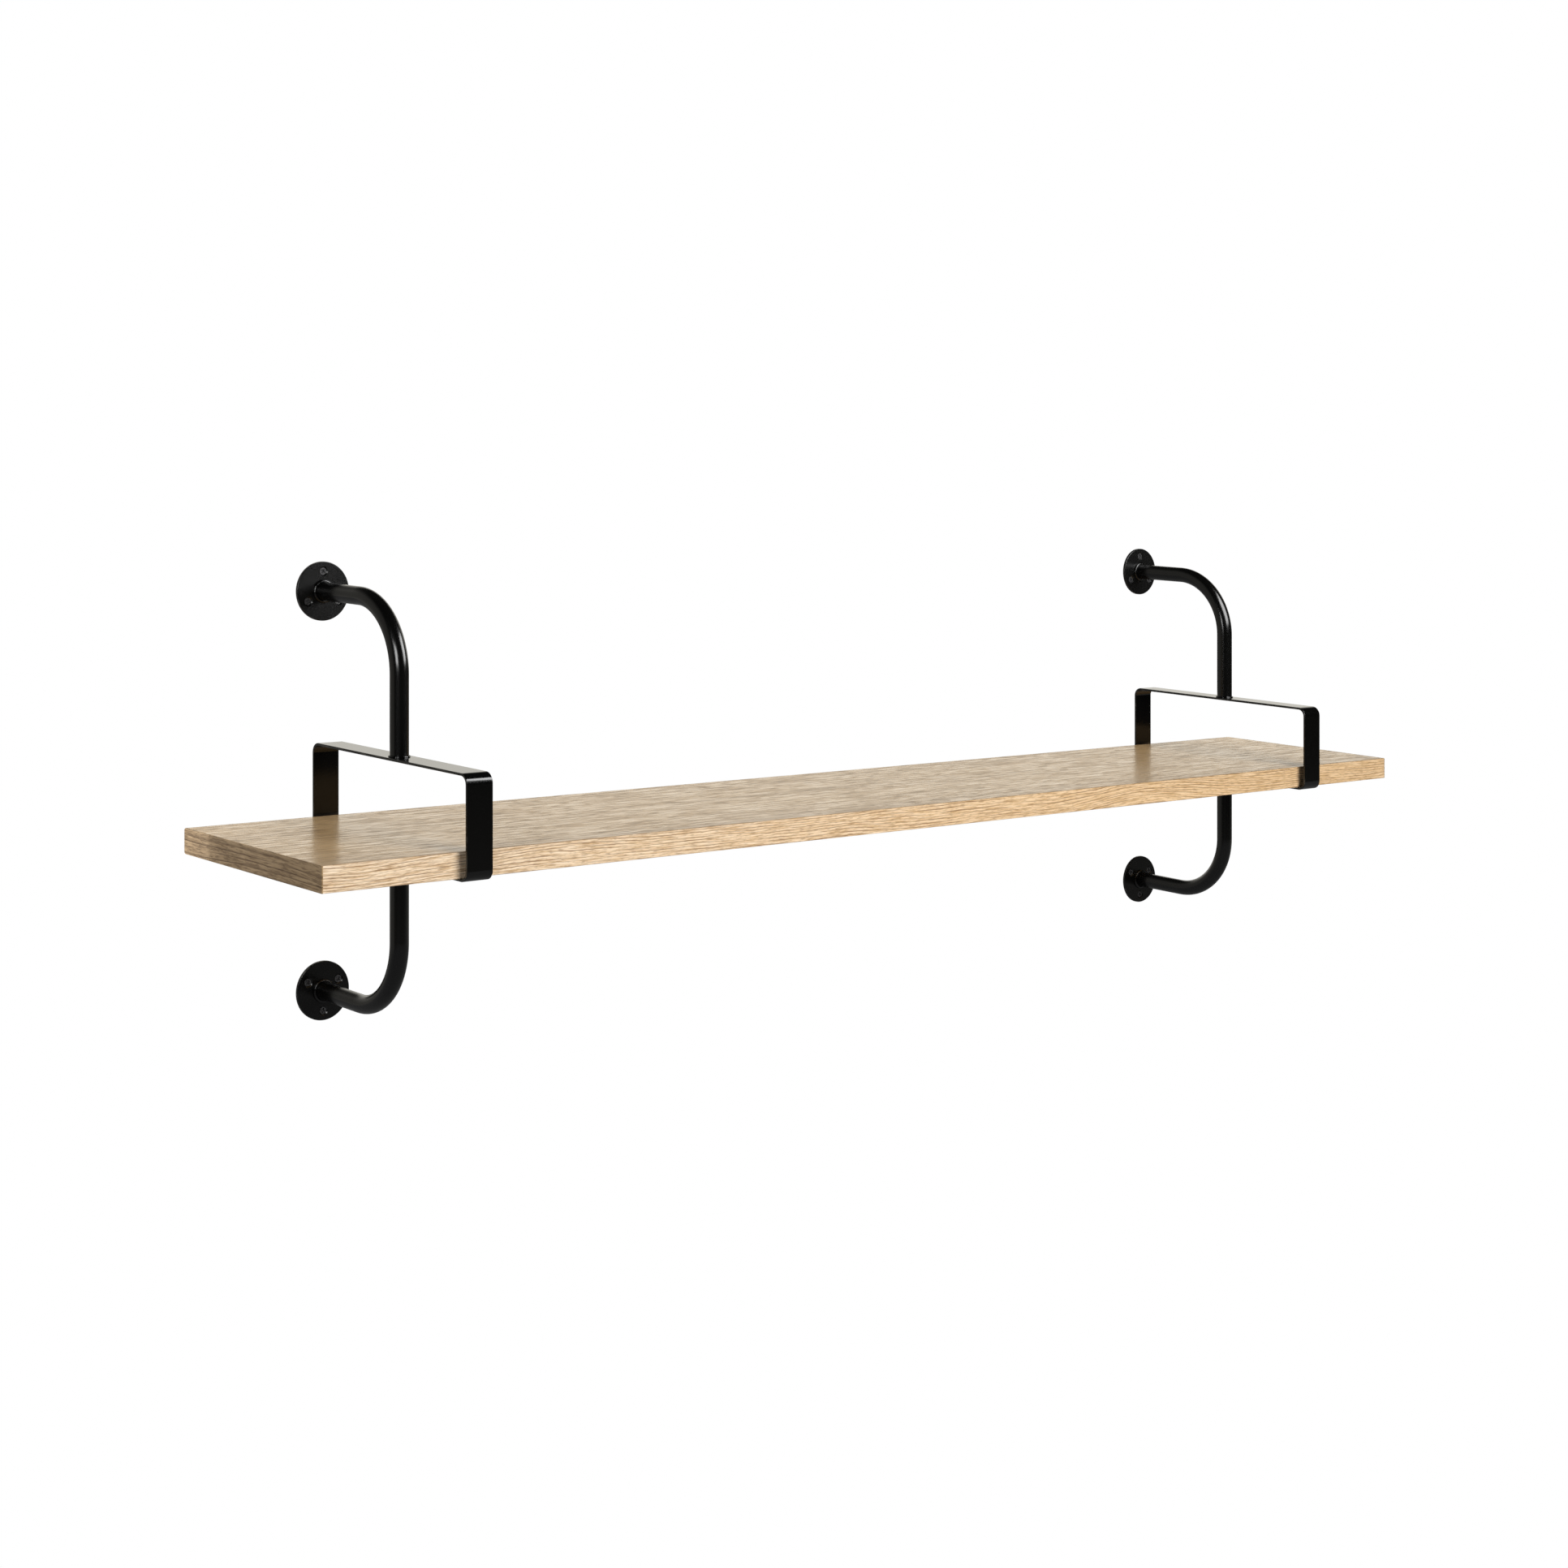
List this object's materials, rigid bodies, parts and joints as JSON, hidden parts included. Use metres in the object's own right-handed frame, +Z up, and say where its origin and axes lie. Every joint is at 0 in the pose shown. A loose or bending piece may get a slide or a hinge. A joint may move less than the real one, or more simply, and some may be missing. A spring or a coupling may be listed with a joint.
{
  "type": "wall shelf with brackets",
  "caption": "Long oak-faced board resting in steel strap loops, held off the wall by bent black tubes that end in round screwed flanges.",
  "frame": {"origin": "on the wall plane, midway between the brackets and midway between their upper and lower flanges", "axes": "+X along the board to the right as seen from the room, +Y into the wall, +Z up"},
  "size_m": [1.5, 0.3134, 0.449],
  "materials": {
    "oak_face": "satin lacquered oak veneer",
    "oak_edge": "satin lacquered oak edge band",
    "oak_end": "satin lacquered oak end band",
    "board_core": "pressed wood chips, hidden inside the board",
    "powder_coat": "semi-gloss black powder coat on steel",
    "black_screw": "black zinc plating"
  },
  "bodies": {
    "root": {"board_core": "board_core", "top_veneer": "oak_face", "bottom_veneer": "oak_face", "front_edge_band": "oak_edge", "back_edge_band": "oak_edge", "left_end_band": "oak_end", "right_end_band": "oak_end", "left_strap_loop": "powder_coat", "left_board_screws": "black_screw", "left_upper_flange": "powder_coat", "left_upper_tube": "powder_coat", "left_upper_flange_weld": "powder_coat", "left_upper_strap_weld": "powder_coat", "left_upper_wall_screws": "black_screw", "left_lower_flange": "powder_coat", "left_lower_tube": "powder_coat", "left_lower_flange_weld": "powder_coat", "left_lower_strap_weld": "powder_coat", "left_lower_wall_screws": "black_screw", "right_strap_loop": "powder_coat", "right_board_screws": "black_screw", "right_upper_flange": "powder_coat", "right_upper_tube": "powder_coat", "right_upper_flange_weld": "powder_coat", "right_upper_strap_weld": "powder_coat", "right_upper_wall_screws": "black_screw", "right_lower_flange": "powder_coat", "right_lower_tube": "powder_coat", "right_lower_flange_weld": "powder_coat", "right_lower_strap_weld": "powder_coat", "right_lower_wall_screws": "black_screw"}
  },
  "joints": []
}
